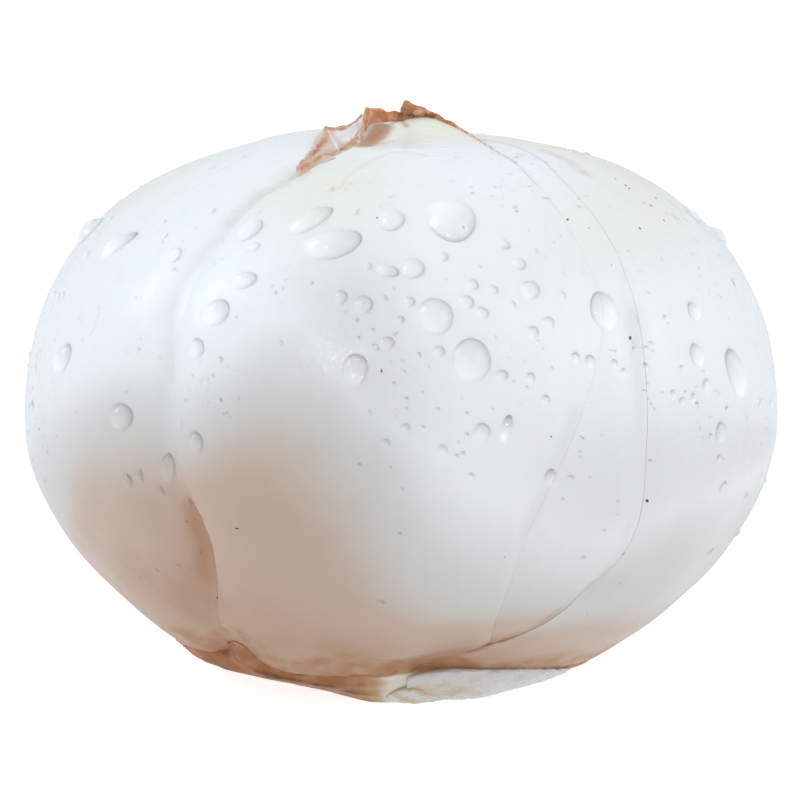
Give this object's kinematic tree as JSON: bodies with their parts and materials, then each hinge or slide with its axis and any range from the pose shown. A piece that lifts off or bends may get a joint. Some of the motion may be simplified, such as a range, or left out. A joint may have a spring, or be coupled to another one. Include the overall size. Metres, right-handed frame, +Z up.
{
  "type": "lily bulb",
  "caption": "Fresh white edible lily bulb: broad fleshy scale leaves wrapped round one another on a flat-cut basal plate, dried brown tips at the mouth.",
  "frame": {"origin": "on the cut face of the basal plate, under the middle of the bulb", "axes": "+Z up through the mouth of the bulb, -Y towards the front scale, +X to the right seen from the front"},
  "size_m": [0.068, 0.0644, 0.0516],
  "materials": {
    "scale_flesh": "waxy white plant flesh, washed and wet, faint yellow-green at the shoulders and tan at the base",
    "inner_flesh": "cream plant flesh with a satin skin",
    "plate_flesh": "pale cut plant flesh with brown dried membranes round its rim",
    "dried_skin": "thin crinkled brown dried skin",
    "water": "clear water drops"
  },
  "bodies": {
    "root": {"front_scale": "scale_flesh", "right_scale": "scale_flesh", "left_scale": "scale_flesh", "back_scale": "scale_flesh", "right_front_scale": "scale_flesh", "back_left_scale": "scale_flesh", "second_scale_1": "inner_flesh", "second_scale_2": "inner_flesh", "second_scale_3": "inner_flesh", "second_scale_4": "inner_flesh", "second_scale_5": "inner_flesh", "third_scale_1": "inner_flesh", "third_scale_2": "inner_flesh", "third_scale_3": "inner_flesh", "third_scale_4": "inner_flesh", "heart_scale_1": "inner_flesh", "heart_scale_2": "inner_flesh", "heart_scale_3": "inner_flesh", "basal_plate": "plate_flesh", "bud": "inner_flesh"}
  },
  "joints": []
}
